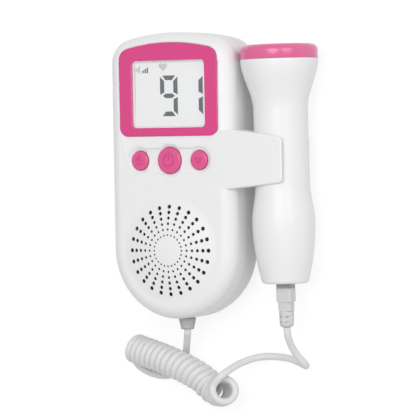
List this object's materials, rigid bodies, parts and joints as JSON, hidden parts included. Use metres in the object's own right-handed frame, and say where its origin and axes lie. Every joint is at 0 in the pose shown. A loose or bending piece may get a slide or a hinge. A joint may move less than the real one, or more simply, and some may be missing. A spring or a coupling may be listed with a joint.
{
  "type": "fetal doppler monitor",
  "caption": "Hand-held ultrasound heartbeat listener with display, round keys, domed speaker grille and a curly-corded probe held in a side clip.",
  "frame": {"origin": "on the flat back face, on the centre line at mid height of the main unit", "axes": "+Z out of the front face, +Y towards the top of the unit, +X towards the probe"},
  "size_m": [0.1133, 0.1814, 0.0378],
  "materials": {
    "white_shell": "satin moulded",
    "pink_trim": "gloss",
    "clear_lens": "clear",
    "lcd_glass": "printed display under glass",
    "light_guide": "frosted",
    "black_rubber": "matte",
    "green_board": "solder mask",
    "chip_black": "moulded",
    "screw_steel": "zinc plated",
    "plunger_grey": "moulded",
    "cone_paper": "pulp",
    "cloth_black": "fine weave",
    "cell_jacket": "plain printed jacket",
    "contact_nickel": "nickel plated",
    "grey_boot": "soft moulded",
    "cord_white": "smooth jacket",
    "plug_dark": "moulded",
    "plug_grey": "moulded",
    "plug_light": "soft moulded",
    "piezo_ceramic": "fired ceramic",
    "backing_resin": "cast"
  },
  "bodies": {
    "main_unit": {"front_shell": "white_shell", "back_shell": "white_shell", "speaker_grille": "white_shell", "dust_cloth": "cloth_black", "display_frame": "pink_trim", "display_lens": "clear_lens", "lcd_panel": "lcd_glass", "lcd_backlight": "light_guide", "connector_strips": "black_rubber", "main_board": "green_board", "board_chips": "chip_black", "board_screws": "screw_steel", "housing_screws": "screw_steel", "key_switches": "chip_black", "speaker_frame": "screw_steel", "speaker_cone": "cone_paper", "speaker_magnet": "screw_steel", "battery_cells": "cell_jacket", "battery_contacts": "contact_nickel", "strain_relief": "grey_boot", "cord_lead_unit": "cord_white", "curly_cord": "cord_white", "cord_lead_probe": "cord_white"},
    "power_key": {"power_button": "pink_trim", "power_plunger": "plunger_grey"},
    "volume_up_key": {"volume_up_button": "pink_trim", "volume_up_plunger": "plunger_grey"},
    "volume_down_key": {"volume_down_button": "pink_trim", "volume_down_plunger": "plunger_grey"},
    "battery_door": {"battery_cover": "white_shell"},
    "probe": {"probe_body": "white_shell", "transducer_cap": "pink_trim", "piezo_plates": "piezo_ceramic", "transducer_backing": "backing_resin", "probe_board": "green_board", "probe_socket": "chip_black", "plug_collar": "plug_dark", "plug_body": "plug_grey", "plug_boot": "plug_light", "plug_pin": "contact_nickel"}
  },
  "joints": [
    {"name": "power_press", "type": "slide", "parent": "main_unit", "child": "power_key", "axis": [0, 0, -1], "range_m": [0, 0.0008], "stiffness_N_per_m": 900},
    {"name": "volume_up_press", "type": "slide", "parent": "main_unit", "child": "volume_up_key", "axis": [0, 0, -1], "range_m": [0, 0.0008], "stiffness_N_per_m": 900},
    {"name": "volume_down_press", "type": "slide", "parent": "main_unit", "child": "volume_down_key", "axis": [0, 0, -1], "range_m": [0, 0.0008], "stiffness_N_per_m": 900},
    {"name": "battery_cover_slide", "type": "slide", "parent": "main_unit", "child": "battery_door", "axis": [0, -1, 0], "range_m": [0, 0.01]},
    {"name": "probe_lift", "type": "slide", "parent": "main_unit", "child": "probe", "axis": [1, 0, 0], "range_m": [0, 0.05]}
  ]
}
